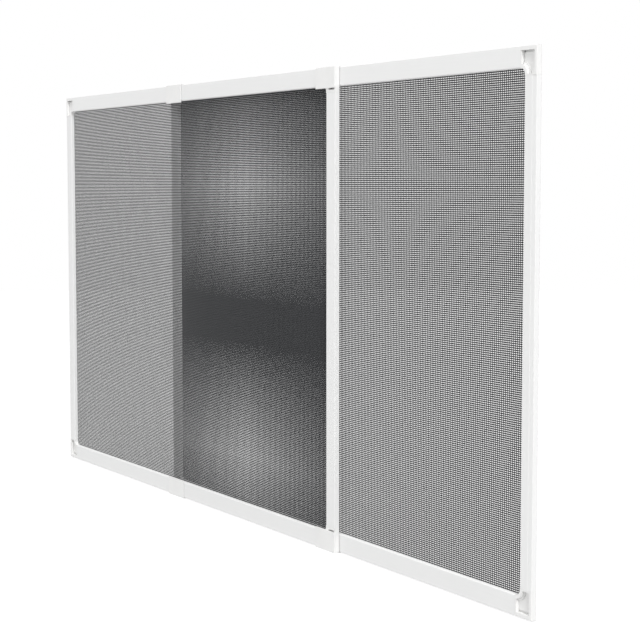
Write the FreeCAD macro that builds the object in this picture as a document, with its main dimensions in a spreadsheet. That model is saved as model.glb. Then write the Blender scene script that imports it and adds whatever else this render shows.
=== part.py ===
"""An adjustable window screen: two framed mesh panels that slide past each other on wrap-round guides.

The row frame is +X along the slide, +Y away from the viewer and +Z up. The origin is the middle of the
pulled-out screen, on the sill that the bottom guides stand on. Lengths are in millimetres.
"""
import FreeCAD, Part
import math
import os
import Sketcher

OUTPUT_FOLDER = "parts"
VOLUME_STEP = 1e-3
OCTAGON_CORNER = math.tan(math.pi / 8)

DRIVING_SIZES = {
    # The panels and how far they overlap as shown
    "panel_width": 544.5,
    "panel_height": 381.0,
    "panel_depth": 4.0,
    "panel_gap": 0.25,
    "shown_overlap": 300.0,
    # The hollow rails and stiles
    "rail_width": 14.5,
    "outer_stile_width": 12.7,
    "inner_stile_width": 13.4,
    "member_wall": 0.8,
    "outer_edge_radius": 0.4,
    "inner_edge_radius": 0.8,
    "band_width": 4.5,
    "band_sink": 0.2,
    # The spline groove and the mesh seat in the back of every member
    "land_width": 1.3,
    "seat_depth": 0.6,
    "groove_width": 2.0,
    "groove_depth": 1.6,
    # The moulded corners
    "opening_radius": 3.9,
    "corner_ledge": 1.1,
    "rib_width": 2.6,
    "pocket_depth": 1.8,
    "pocket_edge_wall": 2.9,
    "pocket_side_wall": 2.6,
    "well_ledge": 1.3,
    "well_depth": 2.6,
    "slot_height": 1.2,
    "slot_depth": 3.4,
    "tongue_length": 14.0,
    "tongue_clearance": 0.1,
    "tongue_chamfer": 0.5,
    # The guides at the inner ends
    "front_guide_length": 29.0,
    "rear_guide_length": 30.5,
    "guide_rise": 0.8,
    "guide_clearance": 0.2,
    "guide_lip": 0.7,
    "guide_overhang": 1.3,
    "plate_proud": 0.5,
    "plate_back": 1.0,
    "back_lip_reach": 9.0,
    "guide_edge_radius": 0.4,
    "recess_height": 1.3,
    "recess_side_wall": 1.2,
    # The mesh and the cord that holds it
    "mesh_sheet": 0.25,
    "mesh_clearance": 0.05,
    "mesh_tuck": 0.9,
    "ridge_width": 0.5,
    "ridge_height": 0.13,
    "ridge_margin": 3.2,
    "bar_ridges": 4,
    "gap_rows": 8,
    "gap_columns": 12,
    "gap_height": 31.0,
    "gap_width": 30.0,
    "spline_diameter": 1.5,
    "spline_butt": 1.0,
}

doc = FreeCAD.newDocument("adjustable_window_screen")
sheet = doc.addObject("Spreadsheet::Sheet", "Sizes")
for row, (alias, number) in enumerate(DRIVING_SIZES.items(), start=1):
    sheet.set(f"A{row}", alias)
    sheet.set(f"B{row}", str(number))
    sheet.setAlias(f"B{row}", alias)
doc.recompute()


class Size:
    """A length that knows both its worked-out value and the sheet expression that it comes from."""

    def __init__(self, value, text):
        self.value = value
        self.text = text

    @staticmethod
    def of(other):
        return other if isinstance(other, Size) else Size(float(other), str(other))

    def __add__(self, other):
        other = Size.of(other)
        return Size(self.value + other.value, f"({self.text} + {other.text})")

    __radd__ = __add__

    def __sub__(self, other):
        other = Size.of(other)
        return Size(self.value - other.value, f"({self.text} - {other.text})")

    def __rsub__(self, other):
        return Size.of(other) - self

    def __mul__(self, other):
        other = Size.of(other)
        return Size(self.value * other.value, f"({self.text} * {other.text})")

    __rmul__ = __mul__

    def __truediv__(self, other):
        other = Size.of(other)
        return Size(self.value / other.value, f"({self.text} / {other.text})")

    def __neg__(self):
        return Size(-self.value, f"(-1 * {self.text})")


def size(alias):
    """The sheet's value of that name."""
    return Size(float(sheet.get(alias)), f"Sizes.{alias}")


def bind(thing, path, value):
    """Ties one property of an object to the sheet."""
    thing.setExpression(path, Size.of(value).text)


panel_width, panel_height = size("panel_width"), size("panel_height")
panel_depth, panel_gap = size("panel_depth"), size("panel_gap")
shown_overlap = size("shown_overlap")
rail_width, member_wall = size("rail_width"), size("member_wall")
outer_stile_width, inner_stile_width = size("outer_stile_width"), size("inner_stile_width")
outer_edge_radius, inner_edge_radius = size("outer_edge_radius"), size("inner_edge_radius")
band_width, band_sink = size("band_width"), size("band_sink")
land_width, seat_depth = size("land_width"), size("seat_depth")
groove_width, groove_depth = size("groove_width"), size("groove_depth")
opening_radius, corner_ledge = size("opening_radius"), size("corner_ledge")
rib_width, pocket_depth = size("rib_width"), size("pocket_depth")
pocket_edge_wall, pocket_side_wall = size("pocket_edge_wall"), size("pocket_side_wall")
well_ledge, well_depth = size("well_ledge"), size("well_depth")
slot_height, slot_depth = size("slot_height"), size("slot_depth")
tongue_length, tongue_clearance = size("tongue_length"), size("tongue_clearance")
guide_rise, guide_clearance, guide_lip = size("guide_rise"), size("guide_clearance"), size("guide_lip")
guide_overhang, back_lip_reach = size("guide_overhang"), size("back_lip_reach")
plate_proud, plate_back = size("plate_proud"), size("plate_back")
recess_height, recess_side_wall = size("recess_height"), size("recess_side_wall")
mesh_sheet, mesh_clearance, mesh_tuck = size("mesh_sheet"), size("mesh_clearance"), size("mesh_tuck")
ridge_width, ridge_height, ridge_margin = size("ridge_width"), size("ridge_height"), size("ridge_margin")
gap_height, gap_width, bar_ridges = size("gap_height"), size("gap_width"), size("bar_ridges")
spline_diameter, spline_butt = size("spline_diameter"), size("spline_butt")

shown_width = 2 * panel_width - shown_overlap
front_plane = -panel_gap / 2 - panel_depth
rear_plane = panel_gap / 2
groove_far = land_width + groove_width
rail_arm = rail_width + opening_radius + corner_ledge
NOTHING = Size(0.0, "0")


class Panel:
    """Where one panel lies: its outer and inner ends along X and its front plane along Y."""

    def __init__(self, name, outward, plane, guide_length):
        self.name = name
        self.outward = outward
        self.plane = plane
        self.guide_length = guide_length
        self.outer_end = outward * shown_width / 2
        self.inner_end = outward * (shown_width / 2 - panel_width)


PANELS = (
    Panel("front", -1, front_plane, size("front_guide_length")),
    Panel("rear", 1, rear_plane, size("rear_guide_length")),
)
LEVELS = {"bottom": 1, "top": -1}


def level_height(up):
    """The height of the outer edge of the bottom rail (up is 1) or the top rail (up is -1)."""
    return guide_rise if up > 0 else guide_rise + panel_height


def new_body(label, place_x, place_y, place_z):
    """A sub-part whose own origin lies at that place."""
    body = doc.addObject("PartDesign::Body", label)
    body.Label = label
    bind(body, "Placement.Base.x", place_x)
    bind(body, "Placement.Base.y", place_y)
    bind(body, "Placement.Base.z", place_z)
    return body


def new_sketch(body, name, role, offset=NOTHING):
    """A sketch on one of the body's own planes, moved along the plane's normal."""
    sketch = body.newObject("Sketcher::SketchObject", name)
    plane = next(part for part in body.Origin.OriginFeatures if part.Role == role)
    sketch.AttachmentSupport = [(plane, "")]
    sketch.MapMode = "FlatFace"
    bind(sketch, "AttachmentOffset.Base.z", offset)
    return sketch


def fix_point(sketch, geometry, end, place):
    """Fixes a point of the sketch at its distances from the sketch's origin."""
    for axis, kind, coordinate in (("across", "DistanceX", place[0]), ("along", "DistanceY", place[1])):
        coordinate = Size.of(coordinate)
        if coordinate.text == "0":
            line = -2 if kind == "DistanceX" else -1
            sketch.addConstraint(Sketcher.Constraint("PointOnObject", geometry, end, line))
            continue
        number = sketch.addConstraint(Sketcher.Constraint(kind, -1, 1, geometry, end, coordinate.value))
        name = f"{axis}_{geometry}_{end}"
        sketch.renameConstraint(number, name)
        bind(sketch, f"Constraints.{name}", coordinate)


def arc_ends_forward(start, end, centre):
    """True if the short way round the centre from start to end is anticlockwise."""
    ax, ay = start[0] - centre[0], start[1] - centre[1]
    bx, by = end[0] - centre[0], end[1] - centre[1]
    return ax * by - ay * bx > 0


def outline(sketch, steps, closed=True):
    """Draws a wire. A step is (x, y) for a straight run there, or (x, y, centre x, centre y, radius)."""
    places = [(Size.of(step[0]), Size.of(step[1])) for step in steps]
    spots = [(x.value, y.value) for x, y in places]
    runs = range(len(steps)) if closed else range(len(steps) - 1)
    drawn = []
    for index in runs:
        following = (index + 1) % len(steps)
        start, end = spots[index], spots[following]
        if len(steps[following]) == 2:
            edge = Part.LineSegment(FreeCAD.Vector(*start, 0), FreeCAD.Vector(*end, 0))
            drawn.append((sketch.addGeometry(edge, False), 1, 2))
            continue
        centre = tuple(Size.of(value).value for value in steps[following][2:4])
        radius = Size.of(steps[following][4])
        forward = arc_ends_forward(start, end, centre)
        first, last = (start, end) if forward else (end, start)
        angles = [math.atan2(spot[1] - centre[1], spot[0] - centre[0]) for spot in (first, last)]
        circle = Part.Circle(FreeCAD.Vector(*centre, 0), FreeCAD.Vector(0, 0, 1), radius.value)
        number = sketch.addGeometry(Part.ArcOfCircle(circle, *angles), False)
        drawn.append((number, 1, 2) if forward else (number, 2, 1))
        bend = sketch.addConstraint(Sketcher.Constraint("Radius", number, radius.value))
        sketch.renameConstraint(bend, f"bend_{number}")
        bind(sketch, f"Constraints.bend_{number}", radius)
    for index in runs:
        geometry, start_end, finish_end = drawn[index]
        fix_point(sketch, geometry, start_end, places[index])
        if closed or index + 1 < len(drawn):
            after = drawn[(index + 1) % len(drawn)]
            joint = Sketcher.Constraint("Coincident", geometry, finish_end, after[0], after[1])
            sketch.addConstraint(joint)
        else:
            fix_point(sketch, geometry, finish_end, places[-1])
    return sketch


def rectangle(sketch, left, low, right, high):
    """A closed rectangle between two corners."""
    return outline(sketch, [(left, low), (right, low), (right, high), (left, high)])


def rounded_rectangle(sketch, left, low, right, high, radius, way=1):
    """A closed rectangle with round corners. way is 1 if left to right runs along the axis, else -1."""
    reach = radius * way
    return outline(
        sketch,
        [
            (left + reach, low, left + reach, low + radius, radius),
            (right - reach, low),
            (right, low + radius, right - reach, low + radius, radius),
            (right, high - radius),
            (right - reach, high, right - reach, high - radius, radius),
            (left + reach, high),
            (left, high - radius, left + reach, high - radius, radius),
            (left, low + radius),
        ],
    )


def solid_volume(body):
    """The body's volume so far."""
    return body.Shape.Volume if body.Tip else 0.0


def add_feature(body, kind, name, sketch, length, backwards):
    """Pads or pockets a sketch and makes sure that the solid grew or shrank."""
    before = solid_volume(body)
    feature = body.newObject(kind, name)
    feature.Profile = sketch
    feature.Reversed = backwards
    bind(feature, "Length", length)
    sketch.Visibility = False
    doc.recompute()
    change = solid_volume(body) - before
    grew = kind == "PartDesign::Pad"
    if (change < VOLUME_STEP) if grew else (change > -VOLUME_STEP):
        raise ValueError(f"{body.Label}: {name} changes nothing")
    return feature


def pad(body, name, sketch, length, backwards=False):
    return add_feature(body, "PartDesign::Pad", name, sketch, length, backwards)


def pocket(body, name, sketch, length, backwards=False):
    return add_feature(body, "PartDesign::Pocket", name, sketch, length, backwards)


def round_edges(body, name, kind, radius, chosen):
    """Rounds or chamfers the edges of the body's last feature that the test chooses."""
    base = body.Tip
    edges = [f"Edge{n}" for n, edge in enumerate(base.Shape.Edges, start=1) if chosen(edge)]
    if not edges:
        raise ValueError(f"{body.Label}: {name} finds no edge")
    feature = body.newObject(kind, name)
    feature.Base = (base, edges)
    bind(feature, "Radius" if kind == "PartDesign::Fillet" else "Size", radius)
    doc.recompute()
    return feature


def member_profile(sketch, place, width, banded):
    """The hollow section of a rail or stile: u runs from its outer edge, v from its front face.

    place turns (u, v) into the sketch's own directions. The back holds the spline groove and, beside the
    opening, the lower land that the mesh lies on. A stile's front has a lower band along its outer edge.
    """
    sink = band_sink if banded else NOTHING
    soft, crown = outer_edge_radius, inner_edge_radius
    face = [
        place(NOTHING, sink + soft),
        place(soft, sink) + place(soft, sink + soft) + (soft,),
    ]
    if banded:
        face += [place(band_width, sink), place(band_width + sink, NOTHING)]
    outline(
        sketch,
        face
        + [
            place(width - crown, NOTHING),
            place(width, crown) + place(width - crown, crown) + (crown,),
            place(width, panel_depth - seat_depth),
            place(width - land_width, panel_depth - seat_depth),
            place(width - land_width, panel_depth - groove_depth),
            place(width - groove_far, panel_depth - groove_depth),
            place(width - groove_far, panel_depth),
            place(NOTHING, panel_depth),
        ],
    )
    hollow_far = width - groove_far - member_wall
    outline(
        sketch,
        [
            place(member_wall, member_wall),
            place(hollow_far, member_wall),
            place(hollow_far, panel_depth - member_wall),
            place(member_wall, panel_depth - member_wall),
        ],
    )


def build_rail(panel, level, up):
    """A rail runs from the outer corner's arm to the guide."""
    corner_arm = outer_stile_width + opening_radius + corner_ledge
    start = panel.outer_end - panel.outward * corner_arm
    body = new_body(f"{panel.name}_{level}_rail", start, panel.plane, level_height(up))
    section = new_sketch(body, "rail_section", "YZ_Plane")
    member_profile(section, lambda u, v: (v, u * up), rail_width, False)
    length = panel_width - corner_arm - panel.guide_length
    pad(body, "rail_run", section, length, panel.outward > 0)


def build_stile(panel, name, width, end, inward, banded):
    """A stile runs between the arms of the two mouldings at its end of the panel."""
    body = new_body(f"{panel.name}_{name}", end, panel.plane, guide_rise + rail_arm)
    section = new_sketch(body, "stile_section", "XY_Plane")
    member_profile(section, lambda u, v: (u * inward, v), width, banded)
    pad(body, "stile_run", section, panel_height - 2 * rail_arm)


def opening_band(sketch, inward, up, stile_width, rail_reach, near, far):
    """A band that follows the mesh opening round its corner, between two distances outside its edge."""
    centre = ((stile_width + opening_radius) * inward, (rail_width + opening_radius) * up)
    outline(
        sketch,
        [
            (rail_reach * inward, (rail_width - far) * up),
            (centre[0], (rail_width - far) * up),
            ((stile_width - far) * inward, centre[1]) + centre + (opening_radius + far,),
            ((stile_width - far) * inward, rail_arm * up),
            ((stile_width - near) * inward, rail_arm * up),
            ((stile_width - near) * inward, centre[1]),
            (centre[0], (rail_width - near) * up) + centre + (opening_radius + near,),
            (rail_reach * inward, (rail_width - near) * up),
        ],
    )


def arm_outline(sketch, inward, up, stile_width, rail_reach):
    """The plan of a corner: two arms with the round corner of the mesh opening between them."""
    centre = ((stile_width + opening_radius) * inward, (rail_width + opening_radius) * up)
    outline(
        sketch,
        [
            (NOTHING, NOTHING),
            (rail_reach * inward, NOTHING),
            (rail_reach * inward, rail_width * up),
            (centre[0], rail_width * up),
            (stile_width * inward, centre[1]) + centre + (opening_radius,),
            (stile_width * inward, rail_arm * up),
            (NOTHING, rail_arm * up),
        ],
    )


def cut_back(body, inward, up, stile_width, rail_reach):
    """The mesh seat and the spline groove in the back of a corner, in line with those of its members."""
    back = -panel_depth
    seat = new_sketch(body, "seat_plan", "XZ_Plane", back)
    opening_band(seat, inward, up, stile_width, rail_reach, NOTHING, land_width + groove_width / 2)
    pocket(body, "mesh_seat", seat, seat_depth, True)
    groove = new_sketch(body, "groove_plan", "XZ_Plane", back)
    opening_band(groove, inward, up, stile_width, rail_reach, land_width, groove_far)
    pocket(body, "spline_groove", groove, groove_depth, True)


def add_tongues(body, inward, up, stile_width, rail_reach):
    """The two tongues that slide into the hollow ends of the rail and the stile."""
    inset = member_wall + tongue_clearance
    near_face, far_face = inset, panel_depth - inset
    rail_tongue = new_sketch(body, "rail_tongue_section", "YZ_Plane", rail_reach * inward)
    rail_far = rail_width - groove_far - inset
    rectangle(rail_tongue, near_face, inset * up, far_face, rail_far * up)
    pad(body, "rail_tongue", rail_tongue, tongue_length, inward < 0)
    stile_tongue = new_sketch(body, "stile_tongue_section", "XY_Plane", rail_arm * up)
    stile_far = stile_width - groove_far - inset
    rectangle(stile_tongue, inset * inward, near_face, stile_far * inward, far_face)
    pad(body, "stile_tongue", stile_tongue, tongue_length, up < 0)
    rail_tip = abs((rail_reach + tongue_length).value)
    stile_tip = abs((rail_arm + tongue_length).value)

    def at_tip(edge):
        box = edge.BoundBox
        flat_x = box.XLength < VOLUME_STEP and abs(abs(box.XMin) - rail_tip) < VOLUME_STEP
        flat_z = box.ZLength < VOLUME_STEP and abs(abs(box.ZMin) - stile_tip) < VOLUME_STEP
        return flat_x or flat_z

    round_edges(body, "tongue_lead", "PartDesign::Chamfer", size("tongue_chamfer"), at_tip)


def pocket_outline(body, name, inward, up, rib):
    """The plan of a corner's pocket, whose curved side keeps that distance from the mesh opening."""
    centre = ((outer_stile_width + opening_radius) * inward, (rail_width + opening_radius) * up)
    return outline(
        new_sketch(body, name, "XZ_Plane"),
        [
            (pocket_side_wall * inward, pocket_edge_wall * up),
            (centre[0], pocket_edge_wall * up),
            (centre[0], (rail_width - rib) * up),
            ((outer_stile_width - rib) * inward, centre[1]) + centre + (opening_radius + rib,),
            (pocket_side_wall * inward, centre[1]),
        ],
    )


def build_corner(panel, level, up):
    """An outer corner: a stepped pocket in front, edged by two walls and the curved rib round the opening.

    A deep slot runs across the pocket beside its edge wall.
    """
    inward = -panel.outward
    rail_reach = outer_stile_width + opening_radius + corner_ledge
    body = new_body(f"{panel.name}_{level}_corner", panel.outer_end, panel.plane, level_height(up))
    plan = new_sketch(body, "corner_plan", "XZ_Plane")
    arm_outline(plan, inward, up, outer_stile_width, rail_reach)
    pad(body, "corner_block", plan, panel_depth, True)

    def at_outer_front(edge):
        box = edge.BoundBox
        front = box.YMax < VOLUME_STEP
        side = box.XLength < VOLUME_STEP and abs(box.XMin) < VOLUME_STEP
        end = box.ZLength < VOLUME_STEP and abs(box.ZMin) < VOLUME_STEP
        return front and (side or end)

    round_edges(body, "outer_rounding", "PartDesign::Fillet", outer_edge_radius, at_outer_front)
    pocket(body, "front_pocket", pocket_outline(body, "pocket_plan", inward, up, rib_width), pocket_depth)
    well = pocket_outline(body, "well_plan", inward, up, rib_width + well_ledge)
    pocket(body, "pocket_well", well, well_depth)
    slot = new_sketch(body, "slot_plan", "XZ_Plane")
    slot_far = (outer_stile_width + opening_radius) * inward
    slot_top = (pocket_edge_wall + slot_height) * up
    rectangle(slot, pocket_side_wall * inward, pocket_edge_wall * up, slot_far, slot_top)
    pocket(body, "deep_slot", slot, slot_depth)
    cut_back(body, inward, up, outer_stile_width, rail_reach)
    add_tongues(body, inward, up, outer_stile_width, rail_reach)


def front_guide_section(up):
    """The front guide's section in (y, z): a proud plate, its panel's depth and a hook for the rear rail."""
    back = 2 * panel_depth + panel_gap + guide_clearance + guide_lip
    return [
        (-plate_proud, -guide_rise * up),
        (back, -guide_rise * up),
        (back, back_lip_reach * up),
        (back - guide_lip, back_lip_reach * up),
        (back - guide_lip, -guide_clearance * up),
        (panel_depth, -guide_clearance * up),
        (panel_depth, rail_width * up),
        (plate_back, rail_width * up),
        (plate_back, (rail_width + guide_overhang) * up),
        (-plate_proud, (rail_width + guide_overhang) * up),
    ]


def rear_guide_section(up):
    """The rear guide's section in (y, z): the panel's own depth and a hook round the front rail."""
    front = -(panel_gap + panel_depth + guide_clearance + guide_lip)
    return [
        (front, -guide_rise * up),
        (panel_depth, -guide_rise * up),
        (panel_depth, rail_width * up),
        (NOTHING, rail_width * up),
        (NOTHING, -guide_clearance * up),
        (front + guide_lip, -guide_clearance * up),
        (front + guide_lip, (rail_width + guide_overhang) * up),
        (front, (rail_width + guide_overhang) * up),
    ]


def build_guide(panel, level, up):
    """A guide: the moulded inner corner of one panel, with a hook that wraps the other panel's rail."""
    inward = panel.outward
    length = panel.guide_length
    body = new_body(f"{panel.name}_{level}_guide", panel.inner_end, panel.plane, level_height(up))
    section = new_sketch(body, "hook_section", "YZ_Plane")
    steps = front_guide_section(up) if panel.name == "front" else rear_guide_section(up)
    outline(section, steps)
    pad(body, "hook_run", section, length, inward < 0)
    front, outer = (Size.of(coordinate).value for coordinate in steps[0])

    def at_outside(edge):
        box = edge.BoundBox
        at_front = box.YLength < VOLUME_STEP and abs(box.YMin - front) < VOLUME_STEP
        at_edge = box.ZLength < VOLUME_STEP and abs(box.ZMin - outer) < VOLUME_STEP
        at_end = box.XLength < VOLUME_STEP
        return at_front + at_edge + at_end > 1

    round_edges(body, "outer_rounding", "PartDesign::Fillet", size("guide_edge_radius"), at_outside)
    plan = new_sketch(body, "corner_plan", "XZ_Plane")
    arm_outline(plan, inward, up, inner_stile_width, length)
    pad(body, "corner_block", plan, panel_depth, True)
    if panel.name == "front":
        recess = new_sketch(body, "recess_plan", "XZ_Plane")
        low = rail_width + guide_overhang
        rectangle(
            recess,
            recess_side_wall * inward,
            low * up,
            (inner_stile_width - rib_width - well_ledge) * inward,
            (low + recess_height) * up,
        )
        pocket(body, "front_recess", recess, slot_depth)
    cut_back(body, inward, up, inner_stile_width, length)
    add_tongues(body, inward, up, inner_stile_width, length)


def opening_box(panel, beyond):
    """The mesh opening's rectangle, let out on all sides, from the panel's outer bottom corner."""
    inward = -panel.outward
    left = (outer_stile_width - beyond) * inward
    right = (panel_width - inner_stile_width + beyond) * inward
    return left, rail_width - beyond, right, panel_height - rail_width + beyond


def build_mesh(panel):
    """The insect mesh: a thin wall with a plain grid of openings, and ridges for the threads on its bars.

    Its edge is tucked into the groove. The rows of ridges are on its front and the columns on its back.
    """
    inward = -panel.outward
    body = new_body(f"{panel.name}_mesh", panel.outer_end, panel.plane, guide_rise)
    seat = -(panel_depth - seat_depth)
    edge = land_width + mesh_clearance + mesh_sheet
    left, low, right, high = opening_box(panel, edge)
    wall = new_sketch(body, "wall_plan", "XZ_Plane", seat)
    rounded_rectangle(wall, left, low, right, high, opening_radius + edge, inward)
    pad(body, "mesh_wall", wall, mesh_sheet, True)
    tuck = new_sketch(body, "tuck_plan", "XZ_Plane", seat)
    rounded_rectangle(tuck, left, low, right, high, opening_radius + edge, inward)
    inside = land_width + mesh_clearance
    rounded_rectangle(tuck, *opening_box(panel, inside), opening_radius + inside, inward)
    pad(body, "tucked_edge", tuck, mesh_tuck)
    inner_width = panel_width - outer_stile_width - inner_stile_width
    inner_height = panel_height - 2 * rail_width
    columns, rows = size("gap_columns"), size("gap_rows")
    column_step, row_step = inner_width / columns, inner_height / rows
    bar_width, bar_height = column_step - gap_width, row_step - gap_height
    first_x = outer_stile_width + bar_width / 2
    first_z = rail_width + bar_height / 2
    hole = new_sketch(body, "gap_plan", "XZ_Plane", seat)
    rectangle(hole, first_x * inward, first_z, (first_x + gap_width) * inward, first_z + gap_height)
    repeat(
        body,
        "gap_grid",
        pocket(body, "first_gap", hole, mesh_sheet),
        (hole, "H_Axis", inward < 0, inner_width - column_step, columns),
        (hole, "V_Axis", False, inner_height - row_step, rows),
    )
    ridge_left = (outer_stile_width + ridge_margin) * inward
    ridge_right = (panel_width - inner_stile_width - ridge_margin) * inward
    pitch = bar_height / bar_ridges
    ridge_z = first_z + gap_height + (pitch - ridge_width) / 2
    row_ridge = new_sketch(body, "row_ridge_plan", "XZ_Plane", seat)
    rectangle(row_ridge, ridge_left, ridge_z, ridge_right, ridge_z + ridge_width)
    repeat(
        body,
        "row_ridges",
        pad(body, "first_row_ridge", row_ridge, ridge_height),
        (row_ridge, "V_Axis", False, bar_height - pitch, bar_ridges),
        (row_ridge, "V_Axis", False, inner_height - 2 * row_step, rows - 1),
    )
    ridge_low, ridge_high = rail_width + ridge_margin, panel_height - rail_width - ridge_margin
    pitch = bar_width / bar_ridges
    ridge_x = first_x + gap_width + (pitch - ridge_width) / 2
    column_ridge = new_sketch(body, "column_ridge_plan", "XZ_Plane", seat - mesh_sheet)
    rectangle(column_ridge, ridge_x * inward, ridge_low, (ridge_x + ridge_width) * inward, ridge_high)
    repeat(
        body,
        "column_ridges",
        pad(body, "first_column_ridge", column_ridge, ridge_height, True),
        (column_ridge, "H_Axis", inward < 0, bar_width - pitch, bar_ridges),
        (column_ridge, "H_Axis", inward < 0, inner_width - 2 * column_step, columns - 1),
    )


def repeat(body, name, feature, first, second=None):
    """Repeats a feature along one or two directions. Each is (sketch, axis, backwards, travel, count)."""
    before = solid_volume(body)
    pattern = body.newObject("PartDesign::LinearPattern", name)
    pattern.Originals = [feature]
    sketch, axis, backwards, travel, count = first
    pattern.Direction = (sketch, [axis])
    pattern.Reversed = backwards
    bind(pattern, "Length", travel)
    bind(pattern, "Occurrences", count)
    if second:
        sketch, axis, backwards, travel, count = second
        pattern.Direction2 = (sketch, [axis])
        pattern.Reversed2 = backwards
        bind(pattern, "Length2", travel)
        bind(pattern, "Occurrences2", count)
    body.Tip = pattern
    doc.recompute()
    if abs(solid_volume(body) - before) < VOLUME_STEP:
        raise ValueError(f"{body.Label}: {name} repeats nothing")


def build_spline(panel):
    """The vinyl cord that wedges the mesh's edge in the groove, laid all the way round to a butt joint.

    Its section is eight-sided, with the cord's diameter across the flats.
    """
    inward = -panel.outward
    body = new_body(f"{panel.name}_spline", panel.outer_end, panel.plane, guide_rise)
    depth = panel_depth - groove_depth / 2
    tucked = land_width + mesh_clearance + mesh_sheet
    middle = (tucked + groove_far) / 2
    left, low, right, high = opening_box(panel, middle)
    radius = opening_radius + middle
    reach = radius * inward
    start = left + (panel_width / 2) * inward
    route = new_sketch(body, "cord_route", "XZ_Plane", -depth)
    outline(
        route,
        [
            (start, low),
            (right - reach, low),
            (right, low + radius, right - reach, low + radius, radius),
            (right, high - radius),
            (right - reach, high, right - reach, high - radius, radius),
            (left + reach, high),
            (left, high - radius, left + reach, high - radius, radius),
            (left, low + radius),
            (left + reach, low, left + reach, low + radius, radius),
            (start - spline_butt * inward, low),
        ],
        closed=False,
    )
    section = new_sketch(body, "cord_section", "YZ_Plane", start)
    half = spline_diameter / 2
    corner = half * OCTAGON_CORNER
    turns = [(half, corner), (corner, half)]
    turns += [(-across, along) for across, along in reversed(turns)]
    turns += [(-across, -along) for across, along in turns]
    outline(section, [(depth + across, low + along) for across, along in turns])
    doc.recompute()
    cord = body.newObject("PartDesign::AdditivePipe", "cord")
    cord.Profile = section
    cord.Spine = route
    doc.recompute()


for panel in PANELS:
    for level, up in LEVELS.items():
        build_rail(panel, level, up)
        build_corner(panel, level, up)
        build_guide(panel, level, up)
    build_stile(panel, "outer_stile", outer_stile_width, panel.outer_end, -panel.outward, True)
    build_stile(panel, "inner_stile", inner_stile_width, panel.inner_end, panel.outward, False)
    build_mesh(panel)
    build_spline(panel)
doc.recompute()

for thing in doc.Objects:
    if "Invalid" in thing.State or "Error" in thing.State:
        raise ValueError(f"{thing.Label} failed: {thing.State}")
subparts = [thing for thing in doc.Objects if thing.isDerivedFrom("PartDesign::Body")]
for body in subparts:
    if body.Shape.isNull() or not body.Shape.isValid() or len(body.Shape.Solids) != 1:
        raise ValueError(f"{body.Label} is not one valid solid")
os.makedirs(OUTPUT_FOLDER, exist_ok=True)
for body in subparts:
    body.Shape.exportStep(os.path.join(OUTPUT_FOLDER, f"{body.Label}.step"))
    print(f"{body.Label}: {body.Shape.Volume:.1f} mm3, {len(body.Shape.Faces)} faces")
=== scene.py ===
"""An adjustable window screen: two framed panels of insect mesh that slide past each other.

Lengths are in metres in the row frame: +X along the slide, +Y away from the viewer and +Z up. The solids
of the rails, stiles, corners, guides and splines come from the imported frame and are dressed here. The two
mesh sheets are woven here, thread by thread, in place of their plain solids.
"""
import logging
import math
from dataclasses import dataclass
from enum import Enum
from typing import ClassVar

import bmesh
import bpy
from mathutils import Matrix, Vector


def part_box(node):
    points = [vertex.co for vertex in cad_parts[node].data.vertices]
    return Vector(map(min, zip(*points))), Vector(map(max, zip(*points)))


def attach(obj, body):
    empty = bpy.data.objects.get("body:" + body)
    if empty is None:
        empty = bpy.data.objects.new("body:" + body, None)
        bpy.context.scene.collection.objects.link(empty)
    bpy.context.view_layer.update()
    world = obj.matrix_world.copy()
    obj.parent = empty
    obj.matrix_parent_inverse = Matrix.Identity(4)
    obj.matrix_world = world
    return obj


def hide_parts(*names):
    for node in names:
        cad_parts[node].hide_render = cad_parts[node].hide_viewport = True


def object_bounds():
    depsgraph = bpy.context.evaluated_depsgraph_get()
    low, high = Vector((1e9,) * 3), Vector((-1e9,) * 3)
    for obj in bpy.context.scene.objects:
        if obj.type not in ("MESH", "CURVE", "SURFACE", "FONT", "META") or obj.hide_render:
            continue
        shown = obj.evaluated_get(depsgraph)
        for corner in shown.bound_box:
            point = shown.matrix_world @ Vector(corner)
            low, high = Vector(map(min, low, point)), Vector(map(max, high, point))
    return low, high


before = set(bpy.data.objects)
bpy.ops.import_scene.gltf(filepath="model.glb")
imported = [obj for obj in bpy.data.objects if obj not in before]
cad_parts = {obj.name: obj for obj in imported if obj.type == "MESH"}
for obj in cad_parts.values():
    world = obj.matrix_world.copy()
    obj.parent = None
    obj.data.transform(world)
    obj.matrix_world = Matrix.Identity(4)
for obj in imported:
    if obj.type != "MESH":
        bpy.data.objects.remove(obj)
cad_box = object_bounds()

log = logging.getLogger("window_screen")
MM = 0.001


class Side(Enum):
    """The two panels, by their place in the window."""

    FRONT = "front"
    REAR = "rear"


class Run(Enum):
    """The way a rail or stile was rolled, as the share of a pattern's scale along X, Y and Z."""

    ALONG_X = (0.04, 1.0, 1.0)
    ALONG_Z = (1.0, 1.0, 0.04)


class Level(Enum):
    """The two ends of a stile, with the share of colour left by painted shade in their mouldings' tightest
    recesses.

    The shade painted in them is deeper at the top, whose slots open downwards, away from the light, than at
    the bottom, whose slots open upwards.
    """

    # Painted shade: the share of colour left in the tightest recesses of the top and of the bottom
    # mouldings.
    TOP = 0.35
    BOTTOM = 0.95


def add_node(tree: bpy.types.NodeTree, kind: str, **settings: object) -> bpy.types.Node:
    """Adds a node and sets it up.

    Args:
        tree: The node tree that the node goes into.
        kind: The node's type name.
        **settings: Properties of the node by name. A key that starts with in_ is an input socket's value,
            with spaces written as underscores.

    Returns:
        The new node.
    """
    node = tree.nodes.new(kind)
    for name, value in settings.items():
        if name.startswith("in_"):
            node.inputs[name[3:].replace("_", " ")].default_value = value
        else:
            setattr(node, name, value)
    return node


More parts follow.
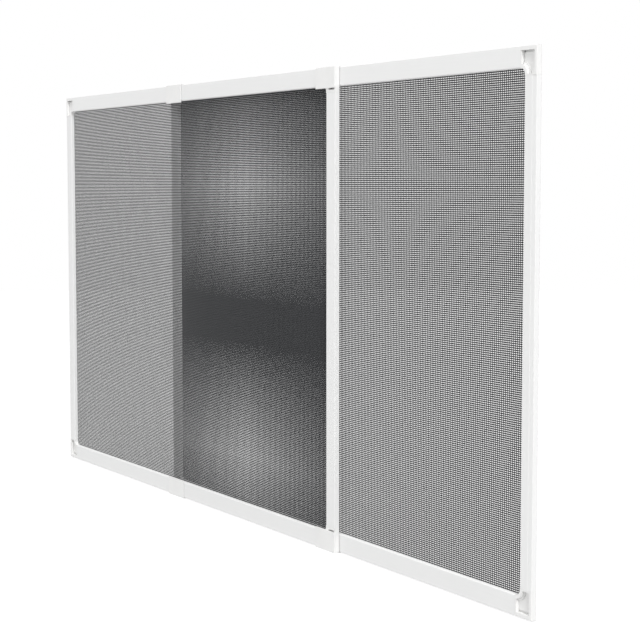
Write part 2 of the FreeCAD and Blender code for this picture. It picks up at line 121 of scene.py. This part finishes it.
def new_group(name: str, inputs: dict[str, float], outputs: dict[str, str]) -> bpy.types.NodeTree:
    """Starts a shader node group.

    Args:
        name: The group's name.
        inputs: Each number that the group takes and its usual value.
        outputs: Each output's name and its socket type.

    Returns:
        The group's node tree, with its input and output nodes in place.
    """
    group = bpy.data.node_groups.new(name, "ShaderNodeTree")
    group.interface.new_socket("Vector", in_out="INPUT", socket_type="NodeSocketVector")
    for label, value in inputs.items():
        socket = group.interface.new_socket(label, in_out="INPUT", socket_type="NodeSocketFloat")
        socket.default_value = value
    for label, kind in outputs.items():
        group.interface.new_socket(label, in_out="OUTPUT", socket_type=kind)
    group.nodes.new("NodeGroupInput")
    group.nodes.new("NodeGroupOutput")
    return group


def group_ends(group: bpy.types.NodeTree) -> tuple[bpy.types.Node, bpy.types.Node]:
    """Finds a group's input node and output node.

    Args:
        group: The group's node tree.

    Returns:
        The input node and the output node.
    """
    by_kind = {node.bl_idname: node for node in group.nodes}
    return by_kind["NodeGroupInput"], by_kind["NodeGroupOutput"]


@dataclass(frozen=True)
class SurfaceGroups:
    """The shader effects that more than one finish uses."""

    grain: bpy.types.NodeTree
    drift: bpy.types.NodeTree
    weave: bpy.types.NodeTree
    FLECK_SHARE: ClassVar[float] = 0.35
    DRIFT_LOW: ClassVar[float] = 0.35
    DRIFT_HIGH: ClassVar[float] = 0.65

    @classmethod
    def build(cls) -> "SurfaceGroups":
        """Builds every group once.

        Returns:
            The groups.
        """
        return cls(grain=cls.build_grain(), drift=cls.build_drift(), weave=cls.build_weave())

    @staticmethod
    def build_grain() -> bpy.types.NodeTree:
        """A fine surface texture over a softer one, as a height and as a mask.

        Returns:
            The group's node tree.
        """
        group = new_group(
            "surface_grain",
            {"Fine Scale": 2600.0, "Soft Scale": 260.0, "Fine Share": 0.4},
            {"Height": "NodeSocketFloat", "Mask": "NodeSocketFloat"},
        )
        start, end = group_ends(group)
        link = group.links.new
        fine = add_node(group, "ShaderNodeTexNoise", in_Detail=3.0, in_Roughness=0.6)
        soft = add_node(group, "ShaderNodeTexNoise", in_Detail=2.0, in_Roughness=0.5)
        both = add_node(group, "ShaderNodeMix", data_type="FLOAT")
        link(start.outputs["Vector"], fine.inputs["Vector"])
        link(start.outputs["Vector"], soft.inputs["Vector"])
        link(start.outputs["Fine Scale"], fine.inputs["Scale"])
        link(start.outputs["Soft Scale"], soft.inputs["Scale"])
        link(start.outputs["Fine Share"], both.inputs[0])
        link(soft.outputs["Fac"], both.inputs[2])
        link(fine.outputs["Fac"], both.inputs[3])
        link(both.outputs[0], end.inputs["Height"])
        link(soft.outputs["Fac"], end.inputs["Mask"])
        return group

    @staticmethod
    def build_drift() -> bpy.types.NodeTree:
        """A slow wander between 0 and 1 over a piece, with a little of a finer one in it.

        Returns:
            The group's node tree.
        """
        group = new_group(
            "tone_drift", {"Scale": 9.0, "Fleck Scale": 420.0}, {"Mask": "NodeSocketFloat"}
        )
        start, end = group_ends(group)
        link = group.links.new
        slow = add_node(group, "ShaderNodeTexNoise", in_Detail=2.0)
        fleck = add_node(group, "ShaderNodeTexNoise", in_Detail=4.0, in_Roughness=0.7)
        both = add_node(group, "ShaderNodeMix", data_type="FLOAT")
        both.inputs[0].default_value = SurfaceGroups.FLECK_SHARE
        spread = add_node(
            group,
            "ShaderNodeMapRange",
            in_From_Min=SurfaceGroups.DRIFT_LOW,
            in_From_Max=SurfaceGroups.DRIFT_HIGH,
        )
        link(start.outputs["Vector"], slow.inputs["Vector"])
        link(start.outputs["Vector"], fleck.inputs["Vector"])
        link(start.outputs["Scale"], slow.inputs["Scale"])
        link(start.outputs["Fleck Scale"], fleck.inputs["Scale"])
        link(slow.outputs["Fac"], both.inputs[2])
        link(fleck.outputs["Fac"], both.inputs[3])
        link(both.outputs[0], spread.inputs["Value"])
        link(spread.outputs["Result"], end.inputs["Mask"])
        return group

    @staticmethod
    def build_weave() -> bpy.types.NodeTree:
        """The over and under of a plain weave: high where a row is on top and low where a column is.

        Returns:
            The group's node tree.
        """
        group = new_group(
            "plain_weave",
            {"First Row": 0.0, "Row Pitch": 1.0, "First Column": 0.0, "Column Pitch": 1.0},
            {"Height": "NodeSocketFloat"},
        )
        start, end = group_ends(group)
        link = group.links.new
        split = add_node(group, "ShaderNodeSeparateXYZ")
        link(start.outputs["Vector"], split.inputs[0])
        waves = []
        for axis, first, pitch in (("X", "First Column", "Column Pitch"), ("Z", "First Row", "Row Pitch")):
            along = add_node(group, "ShaderNodeMath", operation="SUBTRACT")
            turns = add_node(group, "ShaderNodeMath", operation="DIVIDE")
            angle = add_node(group, "ShaderNodeMath", operation="MULTIPLY")
            angle.inputs[1].default_value = math.pi
            wave = add_node(group, "ShaderNodeMath", operation="COSINE")
            link(split.outputs[axis], along.inputs[0])
            link(start.outputs[first], along.inputs[1])
            link(along.outputs[0], turns.inputs[0])
            link(start.outputs[pitch], turns.inputs[1])
            link(turns.outputs[0], angle.inputs[0])
            link(angle.outputs[0], wave.inputs[0])
            waves.append(wave)
        crossed = add_node(group, "ShaderNodeMath", operation="MULTIPLY")
        link(waves[0].outputs[0], crossed.inputs[0])
        link(waves[1].outputs[0], crossed.inputs[1])
        link(crossed.outputs[0], end.inputs["Height"])
        return group


@dataclass(frozen=True)
class Shell:
    """The nodes that every finish starts from."""

    material: bpy.types.Material
    tree: bpy.types.NodeTree
    shader: bpy.types.Node
    place: bpy.types.NodeSocket
    # tight and open bound the painted shade in recesses: full shade at tight, none from open on.
    tight: float = 0.05
    open: float = 0.45
    crevice_samples: int = 6
    edge_samples: int = 4

    @classmethod
    def start(cls, name: str, stretch: tuple[float, float, float] = (1.0, 1.0, 1.0)) -> "Shell":
        """Makes a material with its shader and its stretched object coordinates.

        Args:
            name: The material's name.
            stretch: How much a pattern's scale is kept along X, Y and Z.

        Returns:
            The started material.
        """
        material = bpy.data.materials.new(name)
        material.use_nodes = True
        tree = material.node_tree
        shader = next(node for node in tree.nodes if node.bl_idname == "ShaderNodeBsdfPrincipled")
        spot = add_node(tree, "ShaderNodeTexCoord")
        mapping = add_node(tree, "ShaderNodeMapping", in_Scale=stretch)
        tree.links.new(spot.outputs["Object"], mapping.inputs["Vector"])
        return cls(material, tree, shader, mapping.outputs["Vector"])

    def place_group(self, group: bpy.types.NodeTree, **values: float) -> bpy.types.Node:
        """Puts a shared effect into the material.

        Args:
            group: The effect's node group.
            **values: The effect's numbers by name, with spaces written as underscores.

        Returns:
            The group's node.
        """
        node = add_node(self.tree, "ShaderNodeGroup", node_tree=group)
        for label, value in values.items():
            node.inputs[label.replace("_", " ")].default_value = value
        self.tree.links.new(self.place, node.inputs["Vector"])
        return node

    def place_grain(
        self, groups: SurfaceGroups, fine_scale: float, soft_scale: float, fine_share: float
    ) -> bpy.types.Node:
        """Puts the surface grain into the material.

        Args:
            groups: The shared effects.
            fine_scale: How closely the fine texture repeats, per metre.
            soft_scale: The same for the softer one under it.
            fine_share: The fine one's share of the height.

        Returns:
            The grain's node.
        """
        return self.place_group(
            groups.grain, Fine_Scale=fine_scale, Soft_Scale=soft_scale, Fine_Share=fine_share
        )

    def tint(self, mask: bpy.types.NodeSocket, low: tuple[float, ...], high: tuple[float, ...]) -> None:
        """Blends the base colour between two tones by a mask.

        Args:
            mask: Which tone shows, from 0 to 1.
            low: The tone where the mask is 0.
            high: The tone where the mask is 1.
        """
        mix = add_node(self.tree, "ShaderNodeMix", data_type="RGBA")
        mix.inputs["A"].default_value = (*low, 1.0)
        mix.inputs["B"].default_value = (*high, 1.0)
        self.tree.links.new(mask, mix.inputs["Factor"])
        self.tree.links.new(mix.outputs["Result"], self.shader.inputs["Base Color"])

    def shade_crevices(self, reach: float, tone: float) -> None:
        """Paints shade into the base colour in narrow recesses, where little light gets in.

        Args:
            reach: How far away the walls of a recess may stand, in metres.
            tone: The share of the colour that the painted shade leaves in the narrowest ones.
        """
        tone_in = self.shader.inputs["Base Color"].links[0].from_socket
        # Painted shade: ambient occlusion darkens the base colour where the walls of a recess stand close.
        sky = add_node(self.tree, "ShaderNodeAmbientOcclusion", only_local=True, in_Distance=reach)
        sky.samples = self.crevice_samples
        share = add_node(
            self.tree, "ShaderNodeMapRange", in_From_Min=self.tight, in_From_Max=self.open, in_To_Min=tone
        )
        dim = add_node(self.tree, "ShaderNodeMix", data_type="RGBA", blend_type="MULTIPLY")
        dim.inputs["Factor"].default_value = 1.0
        link = self.tree.links.new
        link(sky.outputs["AO"], share.inputs["Value"])
        link(tone_in, dim.inputs["A"])
        link(share.outputs["Result"], dim.inputs["B"])
        link(dim.outputs["Result"], self.shader.inputs["Base Color"])

    def roughen(self, mask: bpy.types.NodeSocket, low: float, high: float) -> None:
        """Lets the roughness wander between two values by a mask.

        Args:
            mask: Which value shows, from 0 to 1.
            low: The roughness where the mask is 0.
            high: The roughness where the mask is 1.
        """
        spread = add_node(self.tree, "ShaderNodeMapRange", in_To_Min=low, in_To_Max=high)
        self.tree.links.new(mask, spread.inputs["Value"])
        self.tree.links.new(spread.outputs["Result"], self.shader.inputs["Roughness"])

    def emboss(
        self, height: bpy.types.NodeSocket, strength: float, depth: float, edge: float = 0.0
    ) -> None:
        """Turns a height into fine relief.

        Args:
            height: The height of the relief, from 0 to 1.
            strength: How much of the relief shows.
            depth: The depth of the relief in metres.
            edge: The radius to which sharp edges look rounded, in metres.
        """
        bump = add_node(self.tree, "ShaderNodeBump", in_Strength=strength, in_Distance=depth)
        if edge:
            soft = add_node(self.tree, "ShaderNodeBevel", samples=self.edge_samples, in_Radius=edge)
            self.tree.links.new(soft.outputs["Normal"], bump.inputs["Normal"])
        self.tree.links.new(height, bump.inputs["Height"])
        self.tree.links.new(bump.outputs["Normal"], self.shader.inputs["Normal"])

    def pass_light(self, share: float) -> None:
        """Lets a share of the soft light through to what lies behind, as a thin open cloth does.

        Args:
            share: The share of shadow and diffuse rays that pass.
        """
        path = add_node(self.tree, "ShaderNodeLightPath")
        soft = add_node(self.tree, "ShaderNodeMath", operation="MAXIMUM")
        part = add_node(self.tree, "ShaderNodeMath", operation="MULTIPLY")
        part.inputs[1].default_value = share
        clear = add_node(self.tree, "ShaderNodeBsdfTransparent")
        pick = add_node(self.tree, "ShaderNodeMixShader")
        out = next(node for node in self.tree.nodes if node.bl_idname == "ShaderNodeOutputMaterial")
        link = self.tree.links.new
        link(path.outputs["Is Shadow Ray"], soft.inputs[0])
        link(path.outputs["Is Diffuse Ray"], soft.inputs[1])
        link(soft.outputs[0], part.inputs[0])
        link(part.outputs[0], pick.inputs[0])
        link(self.shader.outputs[0], pick.inputs[1])
        link(clear.outputs[0], pick.inputs[2])
        link(pick.outputs[0], out.inputs["Surface"])


@dataclass(frozen=True)
class CoatedAluminium:
    """The white baked coat on the rolled rails and stiles, with faint marks along the roll."""

    low: tuple[float, float, float] = (0.800, 0.802, 0.800)
    high: tuple[float, float, float] = (0.835, 0.836, 0.832)
    gloss_low: float = 0.40
    gloss_high: float = 0.52
    fine_scale: float = 1900.0
    soft_scale: float = 330.0
    fine_share: float = 0.45
    drift_scale: float = 14.0
    fleck_scale: float = 700.0
    relief: float = 0.03 * MM
    relief_strength: float = 0.22
    edge: float = 0.4 * MM

    def make(self, groups: SurfaceGroups, run: Run) -> bpy.types.Material:
        """Makes the finish for members rolled along one axis.

        Args:
            groups: The shared effects.
            run: The way the member was rolled.

        Returns:
            The material.
        """
        shell = Shell.start(f"frame_coating_{run.name.lower()}", run.value)
        grain = shell.place_grain(groups, self.fine_scale, self.soft_scale, self.fine_share)
        drift = shell.place_group(groups.drift, Scale=self.drift_scale, Fleck_Scale=self.fleck_scale)
        shell.tint(drift.outputs["Mask"], self.low, self.high)
        shell.roughen(grain.outputs["Mask"], self.gloss_low, self.gloss_high)
        shell.emboss(grain.outputs["Height"], self.relief_strength, self.relief, self.edge)
        return shell.material


@dataclass(frozen=True)
class MouldedPlastic:
    """The white moulded corners and guides, a little warmer than the coat, with a spark-eroded grain and
    painted shade in their recesses.
    """

    low: tuple[float, float, float] = (0.806, 0.806, 0.800)
    high: tuple[float, float, float] = (0.838, 0.837, 0.829)
    gloss_low: float = 0.40
    gloss_high: float = 0.54
    fine_scale: float = 3600.0
    soft_scale: float = 480.0
    fine_share: float = 0.65
    drift_scale: float = 60.0
    fleck_scale: float = 1500.0
    relief: float = 0.04 * MM
    relief_strength: float = 0.3
    edge: float = 0.5 * MM
    # Painted shade: how far apart the walls of a recess may stand for shade to be painted into it.
    painted_shade_reach: float = 1.6 * MM

    def make(self, groups: SurfaceGroups, level: Level) -> bpy.types.Material:
        """Makes the finish for the mouldings at one level, with shade painted into their recesses.

        Args:
            groups: The shared effects.
            level: Whether the mouldings lie at the top or the bottom, which sets how dark the painted shade
                in their recesses is.

        Returns:
            The material.
        """
        shell = Shell.start(f"moulded_white_{level.name.lower()}")
        grain = shell.place_grain(groups, self.fine_scale, self.soft_scale, self.fine_share)
        drift = shell.place_group(groups.drift, Scale=self.drift_scale, Fleck_Scale=self.fleck_scale)
        shell.tint(drift.outputs["Mask"], self.low, self.high)
        shell.roughen(grain.outputs["Mask"], self.gloss_low, self.gloss_high)
        shell.shade_crevices(self.painted_shade_reach, level.value)
        shell.emboss(grain.outputs["Height"], self.relief_strength, self.relief, self.edge)
        return shell.material


@dataclass(frozen=True)
class VinylThread:
    """The charcoal vinyl skin of the mesh threads, with shade painted darker where a thread dips under its
    neighbour.
    """

    low: tuple[float, float, float] = (0.016, 0.017, 0.019)
    high: tuple[float, float, float] = (0.042, 0.043, 0.046)
    gloss_low: float = 0.42
    gloss_high: float = 0.62
    fine_scale: float = 5200.0
    soft_scale: float = 900.0
    fine_share: float = 0.5
    # The grain's share of the tint; the rest is the weave's painted shade.
    grain_share: float = 0.45
    relief: float = 0.06 * MM
    relief_strength: float = 0.5
    light_share: float = 0.8
    shine: float = 0.25

    def make(self, groups: SurfaceGroups, cloth: "MeshCloth") -> bpy.types.Material:
        """Makes the finish for one sheet of mesh.

        Args:
            groups: The shared effects.
            cloth: The sheet whose threads the weave follows.

        Returns:
            The material.
        """
        shell = Shell.start(f"charcoal_mesh_{cloth.side.value}")
        weave = shell.place_group(
            groups.weave,
            First_Row=cloth.first_row,
            Row_Pitch=cloth.row_pitch,
            First_Column=cloth.first_column,
            Column_Pitch=cloth.column_pitch,
        )
        grain = shell.place_grain(groups, self.fine_scale, self.soft_scale, self.fine_share)
        # Painted shade: the weave's height darkens the threads where one dips under its neighbour and
        # lightens them on top, mixed with the grain's real tone.
        shade = add_node(shell.tree, "ShaderNodeMapRange", in_From_Min=-1.0, in_From_Max=1.0)
        both = add_node(shell.tree, "ShaderNodeMix", data_type="FLOAT")
        both.inputs[0].default_value = self.grain_share
        shell.tree.links.new(weave.outputs["Height"], shade.inputs["Value"])
        shell.tree.links.new(shade.outputs["Result"], both.inputs[2])
        shell.tree.links.new(grain.outputs["Height"], both.inputs[3])
        shell.tint(both.outputs[0], self.low, self.high)
        shell.roughen(grain.outputs["Mask"], self.gloss_low, self.gloss_high)
        shell.emboss(both.outputs[0], self.relief_strength, self.relief)
        shell.shader.inputs["Specular IOR Level"].default_value = self.shine
        shell.pass_light(self.light_share)
        return shell.material


@dataclass(frozen=True)
class SplineVinyl:
    """The matt black vinyl of the cord in the groove, with a coarse drawn grain that grips the mesh."""

    low: tuple[float, float, float] = (0.018, 0.018, 0.018)
    high: tuple[float, float, float] = (0.040, 0.040, 0.040)
    gloss_low: float = 0.55
    gloss_high: float = 0.75
    fine_scale: float = 2400.0
    soft_scale: float = 700.0
    fine_share: float = 0.5
    drift_scale: float = 35.0
    fleck_scale: float = 900.0
    relief: float = 0.08 * MM
    relief_strength: float = 0.45

    def make(self, groups: SurfaceGroups) -> bpy.types.Material:
        """Makes the finish.

        Args:
            groups: The shared effects.

        Returns:
            The material.
        """
        shell = Shell.start("spline_vinyl")
        grain = shell.place_grain(groups, self.fine_scale, self.soft_scale, self.fine_share)
        drift = shell.place_group(groups.drift, Scale=self.drift_scale, Fleck_Scale=self.fleck_scale)
        shell.tint(drift.outputs["Mask"], self.low, self.high)
        shell.roughen(grain.outputs["Mask"], self.gloss_low, self.gloss_high)
        shell.emboss(grain.outputs["Height"], self.relief_strength, self.relief)
        return shell.material


@dataclass
class MeshCloth:
    """One sheet of insect mesh, stretched over the back of its panel and tucked into the groove."""

    side: Side
    row_pitch: float = 1.481 * MM
    column_pitch: float = 2.127 * MM
    thread_width: float = 0.855 * MM
    thickness: float = 0.16 * MM
    row_margin: float = 0.50 * MM
    column_margin: float = 0.77 * MM
    seat_depth: float = 0.6 * MM
    opening_radius: float = 3.9 * MM
    over_land: float = 1.43 * MM
    tuck: float = 0.9 * MM
    thread_sides: int = 8

    def __post_init__(self) -> None:
        """Works out the mesh opening from the panel's rails and stiles."""
        name = self.side.value
        outer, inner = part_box(f"{name}_outer_stile"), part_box(f"{name}_inner_stile")
        left, right = sorted((outer, inner), key=lambda corners: corners[0].x)
        self.left, self.right = left[1].x, right[0].x
        self.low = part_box(f"{name}_bottom_rail")[1].z
        self.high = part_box(f"{name}_top_rail")[0].z
        self.lie = outer[1].y - self.seat_depth + self.thickness / 2

    @property
    def first_row(self) -> float:
        """The height of the lowest row."""
        return self.low + self.row_margin

    @property
    def first_column(self) -> float:
        """The place along X of the first column."""
        return self.left + self.column_margin

    def places(self, first: float, pitch: float, limit: float) -> list[float]:
        """Where the threads of one direction lie, up to the opening's far edge.

        Args:
            first: The place of the first thread.
            pitch: The distance from thread to thread.
            limit: The opening's far edge.

        Returns:
            The place of each thread.
        """
        count = int((limit - first) / pitch) + 1
        return [first + number * pitch for number in range(count)]

    def reach(self, from_edge: float) -> float:
        """How far beyond the opening a thread runs before it turns into the groove.

        Args:
            from_edge: The thread's distance from the opening's edge beside it.

        Returns:
            The full run over the land, or less where the groove curves round the opening's corner.
        """
        short = self.opening_radius - from_edge
        if short <= 0:
            return self.over_land
        bend = self.opening_radius + self.over_land
        return math.sqrt(bend * bend - short * short) - self.opening_radius

    def lay_thread(self, build: bmesh.types.BMesh, start: Vector, end: Vector, flat: Vector) -> None:
        """Lays one straight length of flattened thread.

        Args:
            build: The mesh under way.
            start: One end of the thread's middle line.
            end: The other end.
            flat: The direction in which the thread is thin.
        """
        along = (end - start).normalized()
        turn = Matrix((flat.cross(along), flat, along)).transposed().to_4x4()
        size = Matrix.Diagonal((self.thread_width, self.thickness, (end - start).length, 1.0))
        bmesh.ops.create_cone(
            build,
            cap_ends=True,
            segments=self.thread_sides,
            radius1=0.5,
            radius2=0.5,
            depth=1.0,
            matrix=Matrix.Translation((start + end) / 2) @ turn @ size,
        )

    def lay_run(self, build: bmesh.types.BMesh, start: Vector, end: Vector) -> None:
        """Lays one thread over the opening, with both ends turned into the groove.

        Args:
            build: The mesh under way.
            start: One end of the thread over the land.
            end: The other end.
        """
        self.lay_thread(build, start, end, Vector((0, 1, 0)))
        along = (end - start).normalized()
        for tip in (start, end):
            self.lay_thread(build, tip, tip - Vector((0, self.tuck, 0)), along)

    def weave(self) -> bpy.types.Object:
        """Weaves the sheet from its rows and columns.

        Returns:
            The sheet as one object.
        """
        build = bmesh.new()
        for height in self.places(self.first_row, self.row_pitch, self.high):
            over = self.reach(min(height - self.low, self.high - height))
            start = Vector((self.left - over, self.lie, height))
            self.lay_run(build, start, Vector((self.right + over, self.lie, height)))
        for place in self.places(self.first_column, self.column_pitch, self.right):
            over = self.reach(min(place - self.left, self.right - place))
            start = Vector((place, self.lie, self.low - over))
            self.lay_run(build, start, Vector((place, self.lie, self.high + over)))
        for face in build.faces:
            face.smooth = len(face.verts) == 4
        mesh = bpy.data.meshes.new(f"{self.side.value}_mesh_cloth")
        build.to_mesh(mesh)
        build.free()
        cloth = bpy.data.objects.new(mesh.name, mesh)
        bpy.context.scene.collection.objects.link(cloth)
        return cloth

    def build(self, finish: VinylThread, groups: SurfaceGroups) -> bpy.types.Object:
        """Makes the sheet and ties it to its panel.

        Args:
            finish: The threads' finish.
            groups: The shared effects.

        Returns:
            The finished sheet.
        """
        name = self.side.value
        cloth = self.weave()
        cloth.data.materials.append(finish.make(groups, self))
        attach(cloth, f"{name}_panel")
        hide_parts(f"{name}_mesh")
        return cloth


@dataclass
class Panel:
    """One framed panel: its solids from the frame, dressed, and its mesh."""

    side: Side
    rails: tuple[str, ...] = ("top_rail", "bottom_rail")
    stiles: tuple[str, ...] = ("outer_stile", "inner_stile")
    mouldings: tuple[str, ...] = ("corner", "guide")

    def dress(self, part: str, finish: bpy.types.Material) -> None:
        """Gives one solid of the panel its finish.

        Args:
            part: The solid's name without the panel's.
            finish: The material that it gets.
        """
        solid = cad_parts[f"{self.side.value}_{part}"]
        solid.data.materials.clear()
        solid.data.materials.append(finish)
        log.info("%s dressed in %s", solid.name, finish.name)

    def build(self, finishes: dict[str, bpy.types.Material], groups: SurfaceGroups) -> None:
        """Dresses the panel's solids and weaves its mesh.

        Args:
            finishes: The finishes of the solids by the way they are used.
            groups: The shared effects.
        """
        for part in self.rails:
            self.dress(part, finishes["rail"])
        for part in self.stiles:
            self.dress(part, finishes["stile"])
        for level in Level:
            for part in self.mouldings:
                place = level.name.lower()
                self.dress(f"{place}_{part}", finishes[f"{place}_moulding"])
        self.dress("spline", finishes["spline"])
        cloth = MeshCloth(self.side).build(VinylThread(), groups)
        log.info("%s woven from %d faces", cloth.name, len(cloth.data.polygons))


@dataclass(frozen=True)
class Viewpoint:
    """The camera at the photograph's place, from a fit to the screen's own edges."""

    place: tuple[float, float, float] = (1.2522, -0.67596, 0.2908)
    yaw: float = 1.0324
    pitch: float = -0.0814
    focal_pixels: float = 1654.78
    frame_pixels: float = 640.0
    sensor: float = 36.0

    def build(self) -> bpy.types.Object:
        """Makes the camera and gives it to the scene.

        Returns:
            The camera.
        """
        data = bpy.data.cameras.new("viewpoint")
        data.sensor_width = self.sensor
        data.lens = self.sensor * self.focal_pixels / self.frame_pixels
        camera = bpy.data.objects.new("viewpoint", data)
        level = math.cos(self.pitch)
        ahead = Vector((-math.sin(self.yaw) * level, math.cos(self.yaw) * level, math.sin(self.pitch)))
        camera.location = self.place
        camera.rotation_euler = ahead.to_track_quat("-Z", "Y").to_euler()
        bpy.context.scene.collection.objects.link(camera)
        bpy.context.scene.camera = camera
        return camera


@dataclass(frozen=True)
class Lamp:
    """One soft square lamp, aimed at the middle of the screen."""

    name: str
    azimuth: float
    elevation: float
    distance: float
    size: float
    power: float

    def build(self, target: Vector) -> bpy.types.Object:
        """Hangs the lamp.

        Args:
            target: The point that it shines at.

        Returns:
            The lamp.
        """
        data = bpy.data.lights.new(self.name, "AREA")
        data.shape = "SQUARE"
        data.size = self.size
        data.energy = self.power
        lamp = bpy.data.objects.new(self.name, data)
        turn, rise = math.radians(self.azimuth), math.radians(self.elevation)
        outward = Vector(
            (math.sin(turn) * math.cos(rise), -math.cos(turn) * math.cos(rise), math.sin(rise))
        )
        lamp.location = target + outward * self.distance
        lamp.rotation_euler = outward.to_track_quat("Z", "Y").to_euler()
        bpy.context.scene.collection.objects.link(lamp)
        return lamp


@dataclass(frozen=True)
class Studio:
    """A pale floor under a soft white surround, with a key lamp on the right and weaker ones around."""

    floor_radius: float = 3.2
    floor_sides: int = 96
    floor_tone: float = 0.62
    shadow_share: float = 0.22
    glow: float = 0.83
    surround: float = 0.50
    lamps: tuple[Lamp, ...] = (
        Lamp("key", azimuth=75.0, elevation=32.0, distance=6.0, size=1.4, power=200.0),
        Lamp("overhead", azimuth=10.0, elevation=75.0, distance=6.0, size=2.4, power=128.0),
        Lamp("fill", azimuth=-20.0, elevation=12.0, distance=5.0, size=2.4, power=41.0),
        Lamp("back", azimuth=205.0, elevation=28.0, distance=5.0, size=2.0, power=62.0),
    )

    def seen_directly(self, tree: bpy.types.NodeTree) -> bpy.types.NodeSocket:
        """Marks the rays that show a surface to the camera, straight, by reflection or through glass.

        Args:
            tree: The node tree that the mask goes into.

        Returns:
            The mask.
        """
        path = add_node(tree, "ShaderNodeLightPath")
        seen = path.outputs["Is Camera Ray"]
        for name in ("Is Glossy Ray", "Is Transmission Ray"):
            both = add_node(tree, "ShaderNodeMath", operation="MAXIMUM")
            tree.links.new(seen, both.inputs[0])
            tree.links.new(path.outputs[name], both.inputs[1])
            seen = both.outputs[0]
        return seen

    def floor_finish(self) -> bpy.types.Material:
        """A pale matt floor that glows just enough to meet the white behind it and keeps the shadow.

        Returns:
            The floor's material.
        """
        material = bpy.data.materials.new("floor_pale")
        material.use_nodes = True
        tree = material.node_tree
        tree.nodes.clear()
        link = tree.links.new
        matt = add_node(tree, "ShaderNodeBsdfDiffuse", in_Color=(*(self.floor_tone,) * 3, 1.0))
        faint = add_node(tree, "ShaderNodeBsdfDiffuse", in_Color=(*(self.shadow_share,) * 3, 1.0))
        glow = add_node(tree, "ShaderNodeEmission", in_Strength=self.glow)
        lit = add_node(tree, "ShaderNodeAddShader")
        pick = add_node(tree, "ShaderNodeMixShader")
        out = add_node(tree, "ShaderNodeOutputMaterial")
        link(faint.outputs[0], lit.inputs[0])
        link(glow.outputs[0], lit.inputs[1])
        link(self.seen_directly(tree), pick.inputs[0])
        link(matt.outputs[0], pick.inputs[1])
        link(lit.outputs[0], pick.inputs[2])
        link(pick.outputs[0], out.inputs["Surface"])
        return material

    def build_floor(self, height: float) -> bpy.types.Object:
        """Lays the floor.

        Args:
            height: The floor's height.

        Returns:
            The floor.
        """
        build = bmesh.new()
        bmesh.ops.create_circle(build, cap_ends=True, segments=self.floor_sides, radius=self.floor_radius)
        bmesh.ops.translate(build, vec=(0, 0, height), verts=build.verts)
        mesh = bpy.data.meshes.new("floor")
        build.to_mesh(mesh)
        build.free()
        mesh.materials.append(self.floor_finish())
        floor = bpy.data.objects.new("floor", mesh)
        bpy.context.scene.collection.objects.link(floor)
        return floor

    def build_surround(self) -> None:
        """Makes the world a soft light that the camera sees as plain white."""
        world = bpy.data.worlds.new("soft_white")
        world.use_nodes = True
        tree = world.node_tree
        tree.nodes.clear()
        light = add_node(tree, "ShaderNodeBackground", in_Strength=self.surround)
        seen = add_node(tree, "ShaderNodeBackground", in_Strength=1.0)
        for node in (light, seen):
            node.inputs["Color"].default_value = (1.0, 1.0, 1.0, 1.0)
        pick = add_node(tree, "ShaderNodeMixShader")
        out = add_node(tree, "ShaderNodeOutputWorld")
        tree.links.new(self.seen_directly(tree), pick.inputs[0])
        tree.links.new(light.outputs[0], pick.inputs[1])
        tree.links.new(seen.outputs[0], pick.inputs[2])
        tree.links.new(pick.outputs[0], out.inputs["Surface"])
        bpy.context.scene.world = world

    def build(self) -> None:
        """Builds the floor, the surround and the lamps around the object."""
        low, high = (Vector(corner) for corner in cad_box)
        self.build_floor(low.z)
        self.build_surround()
        for lamp in self.lamps:
            lamp.build((low + high) / 2)
        bpy.context.scene.view_settings.view_transform = "Standard"


def main() -> None:
    """Builds the view, the studio and both panels in order."""
    logging.basicConfig(level=logging.INFO, format="%(name)s: %(message)s")
    Viewpoint().build()
    Studio().build()
    groups = SurfaceGroups.build()
    coat, plastic = CoatedAluminium(), MouldedPlastic()
    finishes = {
        "rail": coat.make(groups, Run.ALONG_X),
        "stile": coat.make(groups, Run.ALONG_Z),
        "top_moulding": plastic.make(groups, Level.TOP),
        "bottom_moulding": plastic.make(groups, Level.BOTTOM),
        "spline": SplineVinyl().make(groups),
    }
    for side in Side:
        Panel(side).build(finishes, groups)


if __name__ == "__main__":
    main()
